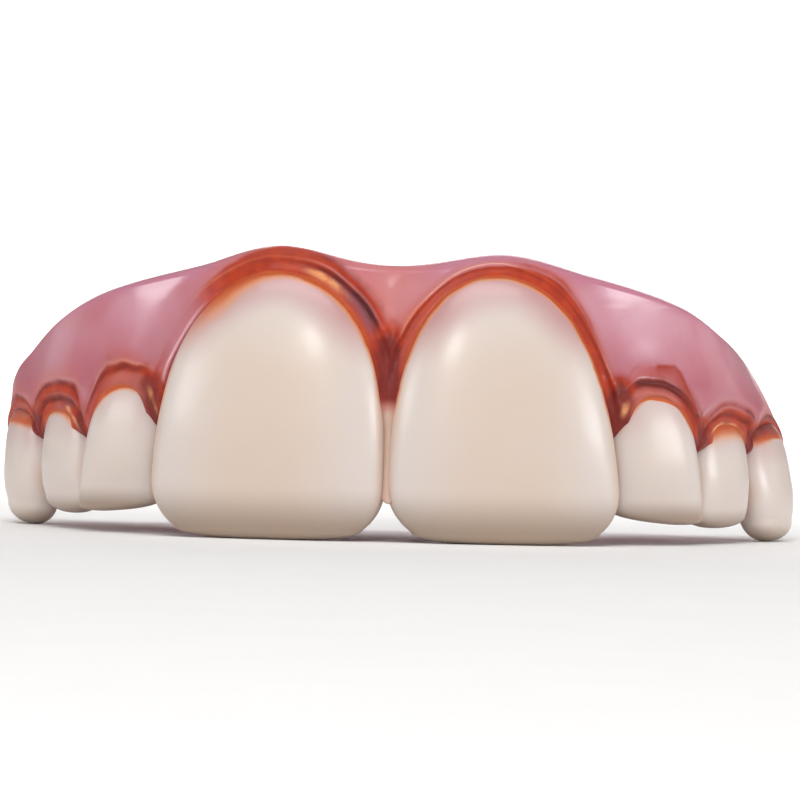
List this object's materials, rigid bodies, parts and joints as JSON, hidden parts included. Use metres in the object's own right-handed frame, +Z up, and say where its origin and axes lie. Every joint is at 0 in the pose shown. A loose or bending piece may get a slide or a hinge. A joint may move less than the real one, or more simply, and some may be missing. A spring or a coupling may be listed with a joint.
{
  "type": "novelty fake teeth",
  "caption": "Novelty false teeth: oversize front teeth and smaller side teeth set in a pink acrylic gum base with a channel that slips over the wearer's upper teeth.",
  "frame": {"origin": "middle of the footprint, on the surface that the biting edges stand on", "axes": "+X to the viewer's right across the teeth, -Y towards the viewer, +Z up from the biting edges to the gum"},
  "size_m": [0.063, 0.0266, 0.022],
  "materials": {
    "gum_acrylic": "polished pink dental acrylic with brushed orange-brown stain around the tooth necks",
    "tooth_acrylic": "polished cream-white tooth acrylic"
  },
  "bodies": {
    "root": {"gum_base": "gum_acrylic", "central_incisor_left": "tooth_acrylic", "central_incisor_right": "tooth_acrylic", "lateral_incisor_left": "tooth_acrylic", "lateral_incisor_right": "tooth_acrylic", "canine_left": "tooth_acrylic", "canine_right": "tooth_acrylic", "premolar_left": "tooth_acrylic", "premolar_right": "tooth_acrylic"}
  },
  "joints": []
}
